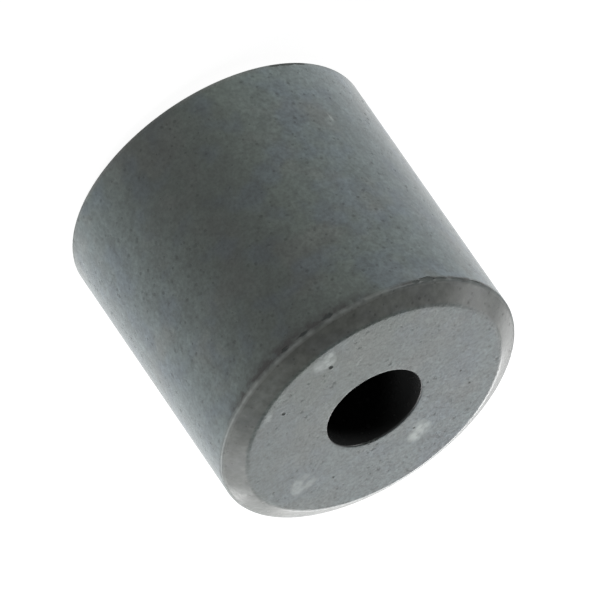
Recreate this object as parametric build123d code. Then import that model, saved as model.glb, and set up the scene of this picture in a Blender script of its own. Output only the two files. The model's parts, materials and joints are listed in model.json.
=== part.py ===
from build123d import *
import os
from math import isclose, radians, tan

# Sleeve ferrite bead: ferrite powder pressed in a round die over a core rod, then fired and tumbled.
# It is one solid. A wire passes through the bore, and both ends have the same pressed chamfer.
# The bead stands on one end. The origin is the centre of that end, and +Z runs along the bore.
# Lengths are in millimetres, angles in degrees.

# Driving sizes
outer_diameter = 7.5
bore_diameter = 2.4
length = 7.5

# End form that the punches press, alike at both ends
chamfer_width = 0.51  # from the outer wall in to the end face
chamfer_angle = 30.0  # slope of the chamfer, measured from the end face

# Edges that tumbling wears round after firing
bore_edge_radius = 0.04
face_edge_radius = 0.30
rim_edge_radius = 0.06

# Radii and heights that follow from those
outer_radius = outer_diameter / 2
bore_radius = bore_diameter / 2
face_radius = outer_radius - chamfer_width
chamfer_height = chamfer_width * tan(radians(chamfer_angle))


def pressed_section():
    """Half section through the bore's axis, radius across and height up, before the edges wear."""
    corners = [
        (bore_radius, 0),
        (face_radius, 0),
        (outer_radius, chamfer_height),
        (outer_radius, length - chamfer_height),
        (face_radius, length),
        (bore_radius, length),
    ]
    return make_face(Polyline(*corners, close=True))


def wear_edges(section, corner_radius, edge_radius):
    """Rounds the two corners, one at each end, that lie corner_radius from the bore's axis."""
    worn = section.vertices().filter_by(lambda corner: isclose(corner.X, corner_radius))
    return fillet(worn, edge_radius)


def ferrite_core():
    """The whole bead, turned from its worn half section."""
    section = pressed_section()
    section = wear_edges(section, bore_radius, bore_edge_radius)
    section = wear_edges(section, face_radius, face_edge_radius)
    section = wear_edges(section, outer_radius, rim_edge_radius)
    return revolve(Plane.XZ * section, axis=Axis.Z)


os.makedirs("parts", exist_ok=True)
export_step(ferrite_core(), "parts/ferrite_core.step")
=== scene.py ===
import bmesh
import bpy
import json
from math import cos, pi, radians, sin, sqrt, tan
from mathutils import Euler, Matrix, Vector
from random import Random


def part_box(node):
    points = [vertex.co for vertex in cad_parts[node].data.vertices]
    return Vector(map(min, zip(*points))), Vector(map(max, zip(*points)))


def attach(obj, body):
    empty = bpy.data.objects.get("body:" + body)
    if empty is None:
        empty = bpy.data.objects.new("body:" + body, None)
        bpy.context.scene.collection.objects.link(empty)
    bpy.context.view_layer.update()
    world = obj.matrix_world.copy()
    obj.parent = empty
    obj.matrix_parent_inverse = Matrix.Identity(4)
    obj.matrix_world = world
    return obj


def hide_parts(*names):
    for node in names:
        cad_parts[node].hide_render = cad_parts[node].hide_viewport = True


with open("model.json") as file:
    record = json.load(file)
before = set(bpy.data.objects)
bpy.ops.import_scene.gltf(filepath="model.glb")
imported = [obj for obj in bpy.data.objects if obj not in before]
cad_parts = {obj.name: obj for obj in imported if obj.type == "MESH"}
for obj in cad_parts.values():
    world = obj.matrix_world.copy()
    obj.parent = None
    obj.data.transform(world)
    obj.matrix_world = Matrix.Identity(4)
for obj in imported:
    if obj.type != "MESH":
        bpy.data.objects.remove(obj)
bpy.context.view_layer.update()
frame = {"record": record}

# Sleeve ferrite bead, standing on one end with its bore upright. The piece is drawn in millimetres,
# 1 unit to 1 mm, and brought down to metres once its shape is finished. Angles round the bead are in
# degrees from the -Y side towards -X.
MM = 0.001

# Main sizes, from the frame
mount_sizes = {mount["name"]: mount["dims"] for mount in frame["record"]["mounts"]}
outer_radius = mount_sizes["outer_wall"]["r_mm"]
bore_radius = mount_sizes["bore"]["r_mm"]
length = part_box("ferrite_core")[1].z / MM

# End form that the punches press, alike at both ends
chamfer_width = 0.51
chamfer_slope = radians(30)
face_radius = outer_radius - chamfer_width
chamfer_height = chamfer_width * tan(chamfer_slope)
rim_height = length - chamfer_height

# Radii that tumbling wears on the edges
bore_wear = 0.04
face_wear = 0.30
rim_wear = 0.06

# How fine the mesh is: steps round the bead and round its worn edges, and the spacing along its runs
steps_round = 320
bore_edge_steps = 4
face_edge_steps = 6
rim_edge_steps = 5
face_spacing = 0.07
wall_spacing = 0.10
bore_spacing = 0.25
on_line = 0.0001
crease_angle = radians(25)

# Chips broken off the rims, where the punch left a thin flash: angle round the bead, height, half the
# length, half the height and depth. The last three are bites of one longer chip off the lower rim.
rim_chips = [
    (67, 7.18, 0.26, 0.035, 0.016),
    (57, 7.18, 0.30, 0.04, 0.018),
    (49, 7.17, 0.20, 0.05, 0.026),
    (43.5, 7.15, 0.22, 0.08, 0.035),
    (38.5, 7.17, 0.12, 0.05, 0.02),
    (4.5, 7.11, 0.15, 0.06, 0.009),
    (-5.3, 7.12, 0.15, 0.05, 0.009),
    (-13.5, 7.12, 0.12, 0.04, 0.008),
    (42, 0.33, 0.20, 0.04, 0.02),
    (47, 0.33, 0.28, 0.05, 0.025),
    (53, 0.33, 0.22, 0.04, 0.02),
]

# Small chips that handling leaves on both rims, on the stretch away from the -Y side: how many, from and
# to which angle, and the least and most of half their length and half their height
stray_chips = 10
stray_from, stray_to = 95, 265
stray_lengths = (0.05, 0.20)
stray_heights = (0.02, 0.05)
stray_depth = 0.010
stray_seed = 5

# Pits in the upper end face: place and half width
face_pits = [
    (0.28, -2.52, 0.06),
    (1.73, -2.03, 0.05),
    (-0.48, 1.66, 0.03),
    (-2.06, 0.76, 0.03),
    (-2.07, 1.41, 0.03),
    (1.63, 1.43, 0.03),
]
pit_depth_share = 0.22

# Nibbles out of the upper edge of the bore: angle and half length
bore_nibbles = [
    (-149, 0.08),
    (-156, 0.06),
    (-162, 0.07),
]
nibble_depth = 0.045

# Lumps that break the chips out: half their thickness across the wall, how rough they are as a share,
# and how often the ball that each starts from is divided
lump_reach = 0.1
lump_roughness_share = 0.12
lump_divisions = 3

# Finish of the ferrite. The real grain and grit are about ten times finer: they are drawn this coarse so
# that they show.
grain_width = 0.085
grit_width = 0.05
relief_depth = 0.01
grain_relief_share = 0.7
pore_relief_share = 0.3
ferrite_ior = 1.5
skin_roughness = 0.26
pore_roughness = 0.42
rim_roughness = 0.5
break_roughness = (0.65, 0.95)

# How much the grain shows in the colour and how strong its relief is, by surface
wall_contrast = 0.9
chamfer_contrast = 0.4
face_contrast = 1.7
wall_relief = 0.6
chamfer_relief = 0.25
break_relief = 0.5

# How light the ferrite is, where 1 is its own colour. Painted shade darkens it along the -Y side, fading
# out between two distances from there; painted light makes it lighter towards the lower end, between two
# heights; and it is dark in its pores.
front_shade_tone = 0.9
front_shade_from, front_shade_to = 0.3, 2.0
# Painted light: the ferrite is lightened towards the lower end
lower_end_light_tone = 1.2
lower_end_light_from, lower_end_light_to = 1.8, 0.4
pore_tone = 0.57

# Clouds in that tone: width, and the least and most tone
tone_clouds = [
    (0.4, (0.86, 1.14)),
    (0.2, (0.92, 1.08)),
]

# Clouds of browner and bluer grey: width, and the most that one covers. The grey also turns bluer, a
# painted bluish reflection, from this far off the -Y side, and browner on the chamfers, by this share.
brown_cloud_width, brown_cloud_share = 1.3, 0.4
blue_cloud_width, blue_cloud_share = 0.9, 0.45
bluer_from = 1.0
chamfer_brown_share = 0.7

# Pores, fine and wide: the width of the cells that hold one each, and the most that one reaches out from
# its middle, as a share of the cell. Their floor is a share of that, and they crowd in open patches.
pore_kinds = [
    (0.17, 0.42),
    (0.40, 0.20),
]
least_pore_share = 0.01
pore_floor_share = 0.5
pore_patch_width = 1.5

# The upper end face's finish starts this far below the face, and is full this far below it
face_finish_start = 0.03
face_finish_full = 0.005

# Rims that handling has worn pale, with a painted highlight along them: the side, how far out from the rim,
# the width of the patches, and how far towards that side they start, where 1 is the wall there
rub_and_highlight_angle = -12
rub_and_highlight_reach = rim_wear * 1.5
rub_and_highlight_patch_width = 0.3
rub_and_highlight_starts = 0.7

# The side towards which the upper end face turns darker and greener, and the most share of that darker
# colour
darker_face_angle = -35
darker_face_share = 0.5

# Dirt and painted shade on the wall below the upper rim: the angles where they are thickest, how many
# degrees each stretch runs to either side, and how far down they reach
dirt_and_shade_stretches = [
    (-12, 40, 0.40),
    (54, 32, 0.14),
]
dirt_and_shade_patch_width = 0.22

# Pale scuffs and crusts of dried residue: place, half sizes, turn about Z in degrees, how far out its
# line runs as a share of its half width, where 0 is a full blob, and strength
pale_marks = [
    ((-0.61, 1.84, length), (0.27, 0.34, 0.40), 0, 0.0, 1.0),
    ((-0.37, 1.96, length), (0.20, 0.25, 0.40), 0, 0.0, 1.0),
    ((2.43, 0.92, length), (0.20, 0.36, 0.40), -15, 0.32, 0.55),
    ((2.20, 1.07, length), (0.30, 0.17, 0.40), 0, 0.0, 0.5),
    ((2.17, 0.75, length), (0.20, 0.16, 0.40), 0, 0.0, 0.3),
    ((0.30, -2.76, length), (0.28, 0.26, 0.40), 0, 0.0, 0.75),
    ((0.50, -2.82, length), (0.20, 0.24, 0.40), 0, 0.0, 0.7),
    ((0.18, -2.95, length), (0.18, 0.16, 0.40), 0, 0.0, 0.65),
    ((2.07, -2.23, length), (0.24, 0.12, 0.40), 45, 0.0, 0.45),
    ((-0.30, -2.02, length), (0.17, 0.05, 0.40), 40, 0.0, 0.45),
    ((1.73, -3.00, 7.37), (1.20, 0.30, 0.40), 30, 0.0, 0.15),
    ((-2.89, -2.39, 2.05), (0.04, 0.30, 0.15), -50.4, 0.0, 0.6),
]

# A mark's full core, as a share of it, and its ragged edge: the width of the tongues and how far they drift
mark_core_share = 0.3
ragged_width = 0.15
ragged_drift = 0.14

# The noise that draws grain and ragged edges swings to either side of this
noise_middle = 0.5

# The photograph's view, from the -Y side. The picture is square, and turned so that the bead lies aslant.
picture_width = 600
view_tilt = radians(58.585)
picture_turn = radians(145.354)
camera_distance = 361.67
picture_focal = 16160.2
centre_right = -0.1575
centre_up = 0.2178
film_width = 36

# White set: the paper's width and glow, the rises between which the tent dims, and its brightness overhead
paper_width = 2000
paper_glow = 0.94
tent_dims_from, tent_dims_to = 0.15, 0.45
tent_top = 0.25

# Soft lamps, close by, most of them low: angle round the bead, rise, and brightness where 1 is white
lamps = {
    "lamp_right": (75, 8, 8.6),
    "lamp_rear_right": (165, 8, 1.2),
    "lamp_rear_right_high": (140, 35, 2.1),
    "lamp_rear": (180, 8, 3.1),
    "lamp_rear_high": (180, 35, 2.3),
    "lamp_rear_left": (225, 8, 5.0),
    "lamp_rear_left_high": (221, 35, 1.9),
    "lamp_left": (255, 8, 7.2),
    "lamp_left_high": (270, 35, 5.5),
}
lamp_width = 36
lamp_height = 18
lamp_distance = 60
lamp_aim = 4


def round_the_bead(angle, radius, height):
    """The point at that angle, distance from the bore's axis and height."""
    turn = radians(angle)
    return Vector((-radius * sin(turn), -radius * cos(turn), height))


def pick_points(piece, wanted):
    """Selects the points whose place passes the test, and the edges and faces between them."""
    mesh = bmesh.from_edit_mesh(piece.data)
    for point in mesh.verts:
        point.select = wanted(piece.matrix_world @ point.co)
    mesh.select_flush_mode()
    mesh.select_flush(True)
    bmesh.update_edit_mesh(piece.data)


def pick_runs(piece, wanted):
    """Selects the edges whose middle passes the test, and gives the longest one's length."""
    bpy.ops.mesh.select_all(action="DESELECT")
    mesh = bmesh.from_edit_mesh(piece.data)
    lengths = []
    for edge in mesh.edges:
        middle = piece.matrix_world @ ((edge.verts[0].co + edge.verts[1].co) / 2)
        if wanted(middle):
            edge.select_set(True)
            lengths.append(edge.calc_length())
    bmesh.update_edit_mesh(piece.data)
    return max(lengths)


def draw_half_section():
    """Draws the bead's half section in the XZ plane, one point pulled along from corner to corner."""
    corners = [
        (bore_radius, 0),
        (face_radius, 0),
        (outer_radius, chamfer_height),
        (outer_radius, rim_height),
        (face_radius, length),
        (bore_radius, length),
    ]
    bpy.ops.object.select_all(action="DESELECT")
    bpy.ops.mesh.primitive_plane_add(size=length, location=(bore_radius, 0, 0))
    bead = bpy.context.object
    bead.name = "bead"
    bpy.ops.object.mode_set(mode="EDIT")
    bpy.ops.mesh.select_mode(type="VERT")
    bpy.ops.mesh.merge(type="CENTER")
    for (radius, height), (next_radius, next_height) in zip(corners, corners[1:] + corners[:1]):
        move = (next_radius - radius, 0, next_height - height)
        bpy.ops.mesh.extrude_region_move(TRANSFORM_OT_translate={"value": move})
    bpy.ops.mesh.select_all(action="SELECT")
    bpy.ops.mesh.remove_doubles(threshold=on_line)
    return bead


def wear_corners(bead, radius, wear, turn, steps):
    """Rounds the section's corners, one at each end, that lie that far from the bore's axis. The outline
    turns by that angle there."""
    pick_points(bead, lambda place: abs(place.x - radius) < on_line)
    reach = wear * tan(turn / 2)
    bpy.ops.mesh.bevel(offset=reach, segments=steps, affect="VERTICES", offset_type="OFFSET")


def divide_runs(bead, spacing, wanted):
    """Divides the section's straight runs that pass the test, about spacing apart."""
    run = pick_runs(bead, wanted)
    bpy.ops.mesh.subdivide(number_cuts=round(run / spacing) - 1)


def press_bead():
    """The bead as it is pressed and tumbled, turned from its half section."""
    bead = draw_half_section()
    wear_corners(bead, bore_radius, bore_wear, pi / 2, bore_edge_steps)
    wear_corners(bead, face_radius, face_wear, chamfer_slope, face_edge_steps)
    wear_corners(bead, outer_radius, rim_wear, pi / 2 - chamfer_slope, rim_edge_steps)
    divide_runs(bead, face_spacing, lambda place: min(place.z, length - place.z) < on_line)
    divide_runs(bead, wall_spacing, lambda place: place.x > outer_radius - on_line)
    divide_runs(bead, bore_spacing, lambda place: place.x < bore_radius + on_line)
    bpy.ops.mesh.select_all(action="SELECT")
    bpy.ops.mesh.spin(steps=steps_round, angle=2 * pi, center=(0, 0, 0), axis=(0, 0, 1))
    bpy.ops.mesh.select_all(action="SELECT")
    bpy.ops.mesh.remove_doubles(threshold=on_line)
    bpy.ops.mesh.normals_make_consistent(inside=False)
    bpy.ops.object.mode_set(mode="OBJECT")
    bpy.ops.object.transform_apply(location=True, rotation=True, scale=True)
    return bead


def add_lump(place, half_sizes, seed, angle=0):
    """A rough lump with those half sizes along the wall, across it and up."""
    bpy.ops.object.select_all(action="DESELECT")
    bpy.ops.mesh.primitive_ico_sphere_add(subdivisions=lump_divisions, radius=1)
    lump = bpy.context.object
    bpy.ops.object.mode_set(mode="EDIT")
    bpy.ops.transform.vertex_random(offset=lump_roughness_share, seed=seed)
    bpy.ops.object.mode_set(mode="OBJECT")
    lump.location = place
    lump.rotation_euler.z = -radians(angle)
    lump.scale = half_sizes
    return lump


def wall_lump(angle, height, half_length, half_height, depth, seed):
    """A lump that breaks a chip of that size and depth out of the outer wall."""
    sunk_share = sqrt(1 - ((lump_reach - depth) / lump_reach) ** 2)
    place = round_the_bead(angle, outer_radius + lump_reach - depth, height)
    half_sizes = (half_length / sunk_share, lump_reach, half_height / sunk_share)
    return add_lump(place, half_sizes, seed, angle)


def rim_lumps():
    """Lumps for the chips along both rims that the camera sees."""
    return [wall_lump(*chip, seed) for seed, chip in enumerate(rim_chips)]


def stray_lumps():
    """Lumps for the small chips on the far side of both rims, one to each stretch of it."""
    draw = Random(stray_seed)
    stretch = (stray_to - stray_from) / stray_chips
    lumps = []
    for height in (rim_height - rim_wear, chamfer_height + rim_wear):
        for i in range(stray_chips):
            angle = stray_from + stretch * (i + draw.random())
            half_length = draw.uniform(*stray_lengths)
            half_height = draw.uniform(*stray_heights)
            lumps.append(wall_lump(angle, height, half_length, half_height, stray_depth, i))
    return lumps


def face_lumps():
    """Lumps for the pits in the upper end face and the nibbles out of its bore's edge."""
    lumps = []
    for x, y, half_width in face_pits:
        half_sizes = (half_width, half_width, half_width * pit_depth_share)
        lumps.append(add_lump((x, y, length), half_sizes, len(lumps)))
    for angle, half_length in bore_nibbles:
        place = round_the_bead(angle, bore_radius, length)
        lumps.append(add_lump(place, (half_length, nibble_depth, nibble_depth), len(lumps), angle))
    return lumps


def break_out(bead, lumps, broken):
    """Cuts lumps that don't overlap out of the bead. The broken faces get the material broken."""
    bpy.ops.object.select_all(action="DESELECT")
    for lump in lumps:
        lump.select_set(True)
    bpy.context.view_layer.objects.active = lumps[0]
    bpy.ops.object.join()
    bpy.ops.object.transform_apply(location=True, rotation=True, scale=True)
    cutter = bpy.context.object
    cutter.data.materials.append(broken)
    bpy.ops.object.select_all(action="DESELECT")
    bead.select_set(True)
    bpy.context.view_layer.objects.active = bead
    cut = bead.modifiers.new("chips", "BOOLEAN")
    cut.operation = "DIFFERENCE"
    cut.solver = "EXACT"
    cut.material_mode = "TRANSFER"
    cut.object = cutter
    bpy.ops.object.modifier_apply(modifier=cut.name)
    bpy.data.objects.remove(cutter)


def bring_to_metres(piece):
    """Brings a piece that was drawn in millimetres down to metres."""
    bpy.ops.object.select_all(action="DESELECT")
    piece.select_set(True)
    bpy.context.view_layer.objects.active = piece
    bpy.ops.transform.resize(value=(MM, MM, MM), center_override=(0, 0, 0))
    bpy.ops.object.transform_apply(location=True, rotation=True, scale=True)


def linear(hex_colour):
    """An sRGB colour written as six hex digits, as the linear colour that a shader takes."""
    shades = (int(hex_colour[i:i + 2], 16) / 255 for i in (0, 2, 4))
    return (*(s / 12.92 if s <= 0.04045 else ((s + 0.055) / 1.055) ** 2.4 for s in shades), 1)


def add_node(tree, kind, inputs=(), **settings):
    """Adds a node with its settings. Each input is a value, or another node's output to link."""
    node = tree.nodes.new(kind)
    for name, value in settings.items():
        setattr(node, name, value)
    for name, value in dict(inputs).items():
        if isinstance(value, bpy.types.NodeSocket):
            tree.links.new(value, node.inputs[name])
        else:
            node.inputs[name].default_value = value
    return node


def new_material(name):
    """A new material with no nodes yet, and its tree."""
    material = bpy.data.materials.new(name)
    material.use_nodes = True
    material.node_tree.nodes.clear()
    return material, material.node_tree


def place_in_millimetres(tree):
    """The place on the piece, in millimetres from its origin."""
    place = add_node(tree, "ShaderNodeTexCoord")
    scaled = add_node(tree, "ShaderNodeVectorMath", {
        0: place.outputs["Object"],
        "Scale": 1 / MM,
    }, operation="SCALE")
    return scaled.outputs["Vector"]


def towards(tree, place, angle):
    """How far a place lies towards that side: 1 on the wall there, -1 on the wall opposite."""
    along = add_node(tree, "ShaderNodeVectorMath", {
        0: place,
        1: round_the_bead(angle, 1 / outer_radius, 0),
    }, operation="DOT_PRODUCT")
    return along.outputs["Value"]


def from_rings(tree, section, radius, inset):
    """Distance from the nearer of two rings of that radius, each that far in from its end of the bead."""
    away = add_node(tree, "ShaderNodeVectorMath", {
        0: section,
        1: (radius, 0, length / 2 - inset),
    }, operation="DISTANCE")
    return away.outputs["Value"]


def on_upper_face(tree, height, elsewhere, there):
    """The value there on the upper end face, and the value elsewhere from just below it."""
    value = add_node(tree, "ShaderNodeMapRange", {
        "Value": height,
        "From Min": length - face_finish_start,
        "From Max": length - face_finish_full,
        "To Min": elsewhere,
        "To Max": there,
    })
    return value.outputs[0]


def blotches(tree, place, width, noise_range, values):
    """Soft random patches about that wide, from the first value to the second over that range of noise."""
    noise = add_node(tree, "ShaderNodeTexNoise", {"Vector": place, "Scale": 1 / width, "Detail": 2})
    patch = add_node(tree, "ShaderNodeMapRange", {
        "Value": noise.outputs["Fac"],
        "From Min": noise_range[0],
        "From Max": noise_range[1],
        "To Min": values[0],
        "To Max": values[1],
    })
    return patch.outputs[0]


def pores(tree, place, cell_width, size_share):
    """Pores, one in most cells of a foam, more of them in broad open patches: 1 at their bottom."""
    cells = add_node(tree, "ShaderNodeTexVoronoi", {"Vector": place, "Scale": 1 / cell_width})
    lot = add_node(tree, "ShaderNodeSeparateXYZ", {0: cells.outputs["Color"]})
    spread = blotches(tree, place, pore_patch_width, (0.35, 0.65), (0.75, 1))
    size = add_node(tree, "ShaderNodeMath", {0: spread, 1: lot.outputs["X"]}, operation="SUBTRACT")
    size = add_node(tree, "ShaderNodeMath", {0: size.outputs[0], 1: size_share}, operation="MULTIPLY")
    size = add_node(tree, "ShaderNodeMath", {
        0: size.outputs[0],
        1: least_pore_share,
    }, operation="MAXIMUM")
    bottom = add_node(tree, "ShaderNodeMath", {
        0: size.outputs[0],
        1: pore_floor_share,
    }, operation="MULTIPLY")
    pore = add_node(tree, "ShaderNodeMapRange", {
        "Value": cells.outputs["Distance"],
        "From Min": size.outputs[0],
        "From Max": bottom.outputs[0],
    })
    return pore.outputs[0]


def residue(tree, place):
    """How much pale residue lies at a place: the marks, with ragged, patchy edges."""
    ragged = add_node(tree, "ShaderNodeTexNoise", {
        "Vector": place,
        "Scale": 1 / ragged_width,
        "Detail": 2,
    })
    drift = add_node(tree, "ShaderNodeVectorMath", {
        0: ragged.outputs["Color"],
        1: (noise_middle, noise_middle, noise_middle),
    }, operation="SUBTRACT")
    drifted = add_node(tree, "ShaderNodeVectorMath", {
        0: drift.outputs[0],
        1: (ragged_drift, ragged_drift, ragged_drift),
        2: place,
    }, operation="MULTIPLY_ADD")
    total = 0
    for centre, half_sizes, turn, line_share, strength in pale_marks:
        local = add_node(tree, "ShaderNodeMapping", {
            "Vector": drifted.outputs[0],
            "Location": centre,
            "Rotation": (0, 0, radians(turn)),
            "Scale": half_sizes,
        }, vector_type="TEXTURE")
        out = add_node(tree, "ShaderNodeVectorMath", {0: local.outputs[0]}, operation="LENGTH")
        off_line = add_node(tree, "ShaderNodeMath", {
            0: out.outputs["Value"],
            1: line_share,
        }, operation="SUBTRACT")
        off_line = add_node(tree, "ShaderNodeMath", {0: off_line.outputs[0]}, operation="ABSOLUTE")
        mark = add_node(tree, "ShaderNodeMapRange", {
            "Value": off_line.outputs[0],
            "From Min": 1 - line_share,
            "From Max": (1 - line_share) * mark_core_share,
            "To Max": strength,
        })
        most = add_node(tree, "ShaderNodeMath", {0: mark.outputs[0], 1: total}, operation="MAXIMUM")
        total = most.outputs[0]
    patchy = add_node(tree, "ShaderNodeMapRange", {
        "Value": ragged.outputs["Fac"],
        "From Min": 0.3,
        "From Max": 0.55,
        "To Min": 0.35,
        "To Max": 1,
    })
    share = add_node(tree, "ShaderNodeMath", {0: total, 1: patchy.outputs[0]}, operation="MULTIPLY")
    return share.outputs[0]


def dirt_and_shade(tree, place, height):
    """How much dirt and painted shade lies at a place: blotchy bands on the wall that start at the upper
    rim.
    """
    below = add_node(tree, "ShaderNodeMapRange", {
        "Value": height,
        "From Min": rim_height + rim_wear / 2,
        "From Max": rim_height - rim_wear / 2,
    })
    total = 0
    for angle, half_angle, reach in dirt_and_shade_stretches:
        band = add_node(tree, "ShaderNodeMapRange", {
            "Value": height,
            "From Min": rim_height - reach,
            "From Max": rim_height - reach / 4,
        }, interpolation_type="SMOOTHSTEP")
        stretch = add_node(tree, "ShaderNodeMapRange", {
            "Value": towards(tree, place, angle),
            "From Min": cos(radians(half_angle)),
            "From Max": 1,
            "To Max": band.outputs[0],
        })
        most = add_node(tree, "ShaderNodeMath", {0: stretch.outputs[0], 1: total}, operation="MAXIMUM")
        total = most.outputs[0]
    for share in (below.outputs[0], blotches(tree, place, dirt_and_shade_patch_width, (0.4, 0.6), (0.5, 1.5))):
        total = add_node(tree, "ShaderNodeMath", {0: total, 1: share}, operation="MULTIPLY").outputs[0]
    return total


def darker_face_side(tree, place, height):
    """How much darker, greener colour lies at a place: only on the upper end face, more towards one side.
    """
    thickest = add_node(tree, "ShaderNodeMapRange", {
        "Value": towards(tree, place, darker_face_angle),
        "From Min": -face_radius / outer_radius,
        "From Max": face_radius / outer_radius,
        "To Max": darker_face_share,
    })
    return on_upper_face(tree, height, 0, thickest.outputs[0])


def rubbed_and_highlit_rims(tree, place, to_rim):
    """How pale a place is painted along the rims, partly as wear from handling and partly as a painted
    highlight: patches along the rims, on one side and its opposite.
    """
    patch = add_node(tree, "ShaderNodeMapRange", {
        "Value": to_rim,
        "From Min": rub_and_highlight_reach,
        "From Max": 0,
        "To Max": blotches(tree, place, rub_and_highlight_patch_width, (0.4, 0.6), (0.4, 1.2)),
    })
    side = add_node(tree, "ShaderNodeMath", {0: towards(tree, place, rub_and_highlight_angle)}, operation="ABSOLUTE")
    pale_rim = add_node(tree, "ShaderNodeMapRange", {
        "Value": side.outputs[0],
        "From Min": rub_and_highlight_starts,
        "From Max": 1,
        "To Max": patch.outputs[0],
    })
    return pale_rim.outputs[0]


def lay_over(tree, colour, layers):
    """Lays each layer's colour over those before it, as thickly as its share says."""
    for share, hex_colour in layers:
        mixed = add_node(tree, "ShaderNodeMixRGB", {
            "Fac": share,
            "Color1": colour,
            "Color2": linear(hex_colour),
        })
        colour = mixed.outputs[0]
    return colour


def clouded_grey(tree, place, from_front, on_chamfer):
    """The ferrite's colour: green-grey on the -Y side and bluer away from it as a painted bluish
    reflection, with brown and blue clouds, and browner on the chamfers."""
    bluer = add_node(tree, "ShaderNodeMapRange", {
        "Value": from_front,
        "From Min": bluer_from,
        "From Max": outer_radius,
    })
    browner = add_node(tree, "ShaderNodeMapRange", {"Value": on_chamfer, "To Max": chamfer_brown_share})
    return lay_over(tree, linear("76827B"), [
        # painted bluish reflection away from the -Y side
        (bluer.outputs[0], "768385"),
        (blotches(tree, place, brown_cloud_width, (0.5, 0.65), (0, brown_cloud_share)), "7E807C"),
        (blotches(tree, place, blue_cloud_width, (0.5, 0.65), (0, blue_cloud_share)), "6F7D89"),
        (browner.outputs[0], "81817C"),
    ])


def uneven_tone(tree, place, height, from_front, grain, contrast, pore):
    """How light the ferrite is at a place, where 1 is its own colour: it varies with grain, clouds and
    pores, is darker along the -Y side as painted shade, and lighter towards the lower end as painted light."""
    off_middle = add_node(tree, "ShaderNodeMath", {0: grain, 1: noise_middle}, operation="SUBTRACT")
    grained = add_node(tree, "ShaderNodeMath", {
        0: off_middle.outputs[0],
        1: contrast,
        2: 1,
    }, operation="MULTIPLY_ADD")
    # Painted shade: the ferrite is darkened along the -Y side
    front_shade = add_node(tree, "ShaderNodeMapRange", {
        "Value": from_front,
        "From Min": front_shade_from,
        "From Max": front_shade_to,
        "To Min": front_shade_tone,
        "To Max": 1,
    })
    clouds = [blotches(tree, place, width, (0.3, 0.7), tones) for width, tones in tone_clouds]
    pored = add_node(tree, "ShaderNodeMapRange", {"Value": pore, "To Min": 1, "To Max": pore_tone})
    # Painted light: lighter towards the lower end
    lower_end_light = add_node(tree, "ShaderNodeMapRange", {
        "Value": height,
        "From Min": lower_end_light_from,
        "From Max": lower_end_light_to,
        "To Min": 1,
        "To Max": lower_end_light_tone,
    }, interpolation_type="SMOOTHSTEP")
    tone = grained.outputs[0]
    for other in (front_shade.outputs[0], *clouds, pored.outputs[0], lower_end_light.outputs[0]):
        tone = add_node(tree, "ShaderNodeMath", {0: tone, 1: other}, operation="MULTIPLY").outputs[0]
    return tone


def fine_relief(tree, grain, pore, strength):
    """The fine relief of grain and pores, as the normal that a shader takes."""
    raised = add_node(tree, "ShaderNodeMath", {0: grain, 1: grain_relief_share}, operation="MULTIPLY")
    sunk = add_node(tree, "ShaderNodeMath", {0: pore, 1: pore_relief_share}, operation="MULTIPLY")
    relief = add_node(tree, "ShaderNodeMath", {
        0: raised.outputs[0],
        1: sunk.outputs[0],
    }, operation="SUBTRACT")
    bumps = add_node(tree, "ShaderNodeBump", {
        "Strength": strength,
        "Distance": relief_depth * MM,
        "Height": relief.outputs[0],
    })
    return bumps.outputs["Normal"]


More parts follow.
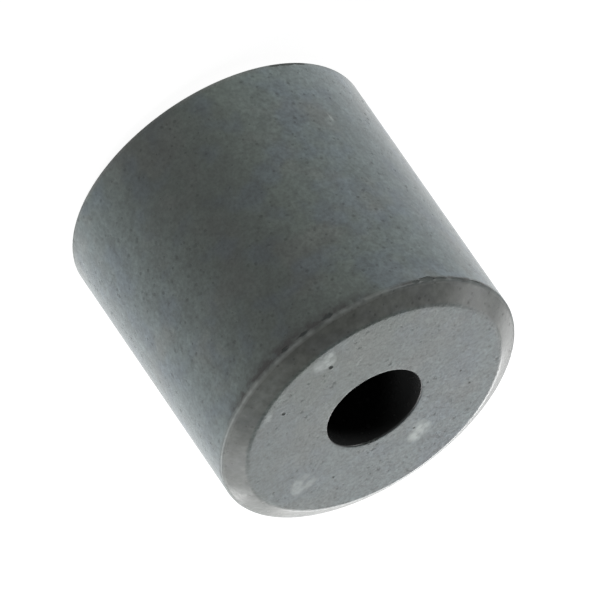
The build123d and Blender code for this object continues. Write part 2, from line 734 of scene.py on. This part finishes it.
def sintered_ferrite():
    """Nickel-zinc ferrite, dry pressed, fired and tumbled: a satin grey ceramic, cloudy, with fine grain
    and dark pores. Its rims are worn pale, with a painted highlight, and the bore is painted dark as shade."""
    material, tree = new_material("sintered_ferrite")
    place = place_in_millimetres(tree)
    height = add_node(tree, "ShaderNodeSeparateXYZ", {0: place}).outputs["Z"]
    flat = add_node(tree, "ShaderNodeVectorMath", {0: place, 1: (1, 1, 0)}, operation="MULTIPLY")
    radius = add_node(tree, "ShaderNodeVectorMath", {0: flat.outputs[0]}, operation="LENGTH")
    from_front = add_node(tree, "ShaderNodeVectorMath", {
        0: flat.outputs[0],
        1: (0, -outer_radius, 0),
    }, operation="DISTANCE")
    off_middle = add_node(tree, "ShaderNodeMath", {0: height, 1: length / 2}, operation="SUBTRACT")
    off_middle = add_node(tree, "ShaderNodeMath", {0: off_middle.outputs[0]}, operation="ABSOLUTE")
    section = add_node(tree, "ShaderNodeCombineXYZ", {
        "X": radius.outputs["Value"],
        "Z": off_middle.outputs[0],
    })
    to_rim = from_rings(tree, section.outputs[0], outer_radius, chamfer_height)
    to_chamfer = from_rings(tree, section.outputs[0], outer_radius - chamfer_width / 2, chamfer_height / 2)
    on_chamfer = add_node(tree, "ShaderNodeMapRange", {
        "Value": to_chamfer,
        "From Min": chamfer_width * 0.75,
        "From Max": chamfer_width * 0.45,
    })
    # Painted shade: the bore is painted dark
    bore_shade = add_node(tree, "ShaderNodeMapRange", {
        "Value": radius.outputs["Value"],
        "From Min": bore_radius + bore_wear,
        "From Max": bore_radius + bore_wear / 8,
    })

    grain = add_node(tree, "ShaderNodeTexNoise", {"Vector": place, "Scale": 1 / grain_width, "Detail": 1})
    fine_pores, wide_pores = [pores(tree, place, *kind) for kind in pore_kinds]
    pore = add_node(tree, "ShaderNodeMath", {0: fine_pores, 1: wide_pores}, operation="MAXIMUM")
    contrast = add_node(tree, "ShaderNodeMapRange", {
        "Value": on_chamfer.outputs[0],
        "To Min": wall_contrast,
        "To Max": chamfer_contrast,
    })
    tone = uneven_tone(
        tree, place, height, from_front.outputs["Value"], grain.outputs["Fac"],
        on_upper_face(tree, height, contrast.outputs[0], face_contrast), pore.outputs[0],
    )
    colour = add_node(tree, "ShaderNodeHueSaturation", {
        "Value": tone,
        "Color": clouded_grey(tree, place, from_front.outputs["Value"], on_chamfer.outputs[0]),
    })
    colour = lay_over(tree, colour.outputs[0], [
        # upper end face darker and greener towards one side
        (darker_face_side(tree, place, height), "3B4B43"),
        # dirt, with painted shade below the upper rim
        (dirt_and_shade(tree, place, height), "2C2E2A"),
        # pale rims: wear, with a painted highlight
        (rubbed_and_highlit_rims(tree, place, to_rim), "B0B5B2"),
        (residue(tree, place), "CDD7D4"),
        # bore painted dark as shade
        (bore_shade.outputs[0], "303131"),
    ])
    strength = add_node(tree, "ShaderNodeMapRange", {
        "Value": on_chamfer.outputs[0],
        "To Min": wall_relief,
        "To Max": chamfer_relief,
    })
    roughness = add_node(tree, "ShaderNodeMapRange", {
        "Value": pore.outputs[0],
        "To Min": skin_roughness,
        "To Max": pore_roughness,
    })
    roughness = add_node(tree, "ShaderNodeMapRange", {
        "Value": to_rim,
        "From Min": rub_and_highlight_reach,
        "From Max": rim_wear / 2,
        "To Min": roughness.outputs[0],
        "To Max": rim_roughness,
    })
    shader = add_node(tree, "ShaderNodeBsdfPrincipled", {
        "Base Color": colour,
        "Roughness": roughness.outputs[0],
        "IOR": ferrite_ior,
        "Normal": fine_relief(tree, grain.outputs["Fac"], pore.outputs[0], strength.outputs[0]),
    })
    add_node(tree, "ShaderNodeOutputMaterial", {"Surface": shader.outputs["BSDF"]})
    return material


def fractured_ferrite():
    """Ferrite where it has chipped: the bare break is darker, gritty and dull, as no tumbling wore it."""
    material, tree = new_material("fractured_ferrite")
    place = place_in_millimetres(tree)
    grit = add_node(tree, "ShaderNodeTexNoise", {"Vector": place, "Scale": 1 / grit_width, "Detail": 2})
    roughness = add_node(tree, "ShaderNodeMapRange", {
        "Value": grit.outputs["Fac"],
        "To Min": break_roughness[0],
        "To Max": break_roughness[1],
    })
    bumps = add_node(tree, "ShaderNodeBump", {
        "Strength": break_relief,
        "Distance": relief_depth * MM,
        "Height": grit.outputs["Fac"],
    })
    shader = add_node(tree, "ShaderNodeBsdfPrincipled", {
        "Base Color": lay_over(tree, linear("484D4B"), [(grit.outputs["Fac"], "626866")]),
        "Roughness": roughness.outputs[0],
        "IOR": ferrite_ior,
        "Normal": bumps.outputs["Normal"],
    })
    add_node(tree, "ShaderNodeOutputMaterial", {"Surface": shader.outputs["BSDF"]})
    return material


def seen_rays(tree):
    """1 for a ray from the camera or off a glossy or clear surface, 0 for one that only brings light."""
    ray = add_node(tree, "ShaderNodeLightPath")
    seen = add_node(tree, "ShaderNodeMath", {
        0: ray.outputs["Is Camera Ray"],
        1: ray.outputs["Is Glossy Ray"],
    }, operation="MAXIMUM")
    seen = add_node(tree, "ShaderNodeMath", {
        0: seen.outputs[0],
        1: ray.outputs["Is Transmission Ray"],
    }, operation="MAXIMUM")
    return seen.outputs[0]


def white_paper():
    """White seamless paper: dull and even. Camera and reflections see it white, with the shadow on it."""
    material, tree = new_material("white_paper")
    glow = add_node(tree, "ShaderNodeMath", {0: seen_rays(tree), 1: paper_glow}, operation="MULTIPLY")
    paper = add_node(tree, "ShaderNodeBsdfDiffuse", {"Color": linear("8C8C8C")})
    white = add_node(tree, "ShaderNodeEmission", {"Color": linear("FFFFFF"), "Strength": glow.outputs[0]})
    both = add_node(tree, "ShaderNodeAddShader", {0: paper.outputs[0], 1: white.outputs[0]})
    add_node(tree, "ShaderNodeOutputMaterial", {"Surface": both.outputs[0]})
    return material


def lay_floor():
    """The sheet of paper that the bead stands on."""
    bpy.ops.object.select_all(action="DESELECT")
    bpy.ops.mesh.primitive_plane_add(size=paper_width * MM)
    floor = bpy.context.object
    floor.name = "floor"
    floor.data.materials.append(white_paper())


def hang_tent():
    """A white tent round the set, dimmer overhead. It shows to the camera and in reflections."""
    world = bpy.data.worlds.new("studio_tent")
    bpy.context.scene.world = world
    world.use_nodes = True
    tree = world.node_tree
    direction = add_node(tree, "ShaderNodeTexCoord")
    rise = add_node(tree, "ShaderNodeSeparateXYZ", {0: direction.outputs["Generated"]})
    white = add_node(tree, "ShaderNodeMapRange", {
        "Value": rise.outputs["Z"],
        "From Min": tent_dims_from,
        "From Max": tent_dims_to,
        "To Min": 1,
        "To Max": tent_top,
    })
    glow = add_node(tree, "ShaderNodeMath", {0: seen_rays(tree), 1: white.outputs[0]}, operation="MULTIPLY")
    background = tree.nodes["Background"]
    background.inputs["Color"].default_value = linear("FFFFFF")
    tree.links.new(glow.outputs[0], background.inputs["Strength"])


def light_set():
    """Soft lamps in a ring, turned to the bead."""
    aim = Vector((0, 0, lamp_aim))
    for name, (angle, rise, brightness) in lamps.items():
        reach = round_the_bead(angle, cos(radians(rise)), sin(radians(rise))) * lamp_distance
        facing = reach.to_track_quat("Z", "Y").to_euler()
        bpy.ops.object.light_add(type="AREA", location=(aim + reach) * MM, rotation=facing)
        lamp = bpy.context.object
        lamp.name = name
        lamp.data.shape = "RECTANGLE"
        lamp.data.size = lamp_width * MM
        lamp.data.size_y = lamp_height * MM
        lamp.data.energy = brightness * pi * lamp.data.size * lamp.data.size_y
        lamp.visible_camera = False


def place_camera():
    """The camera at the photograph's viewing angle."""
    turned = Euler((view_tilt, 0, 0)).to_matrix() @ Matrix.Rotation(picture_turn, 3, "Z")
    right, up, back = turned.col
    middle = Vector((0, 0, length / 2))
    place = middle - centre_right * right - centre_up * up + camera_distance * back
    bpy.ops.object.camera_add(location=place * MM, rotation=turned.to_euler())
    camera = bpy.context.object
    camera.data.sensor_width = film_width
    camera.data.lens = picture_focal / picture_width * film_width
    bpy.context.scene.camera = camera


bead = press_bead()
bead.data.materials.append(sintered_ferrite())
broken = fractured_ferrite()
lumps = rim_lumps() + stray_lumps() + face_lumps()
break_out(bead, lumps[0::2], broken)
break_out(bead, lumps[1::2], broken)
bring_to_metres(bead)
bpy.ops.object.shade_smooth_by_angle(angle=crease_angle)
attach(bead, "root")
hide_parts("ferrite_core")

lay_floor()
hang_tent()
light_set()
place_camera()
bpy.context.scene.view_settings.view_transform = "Standard"
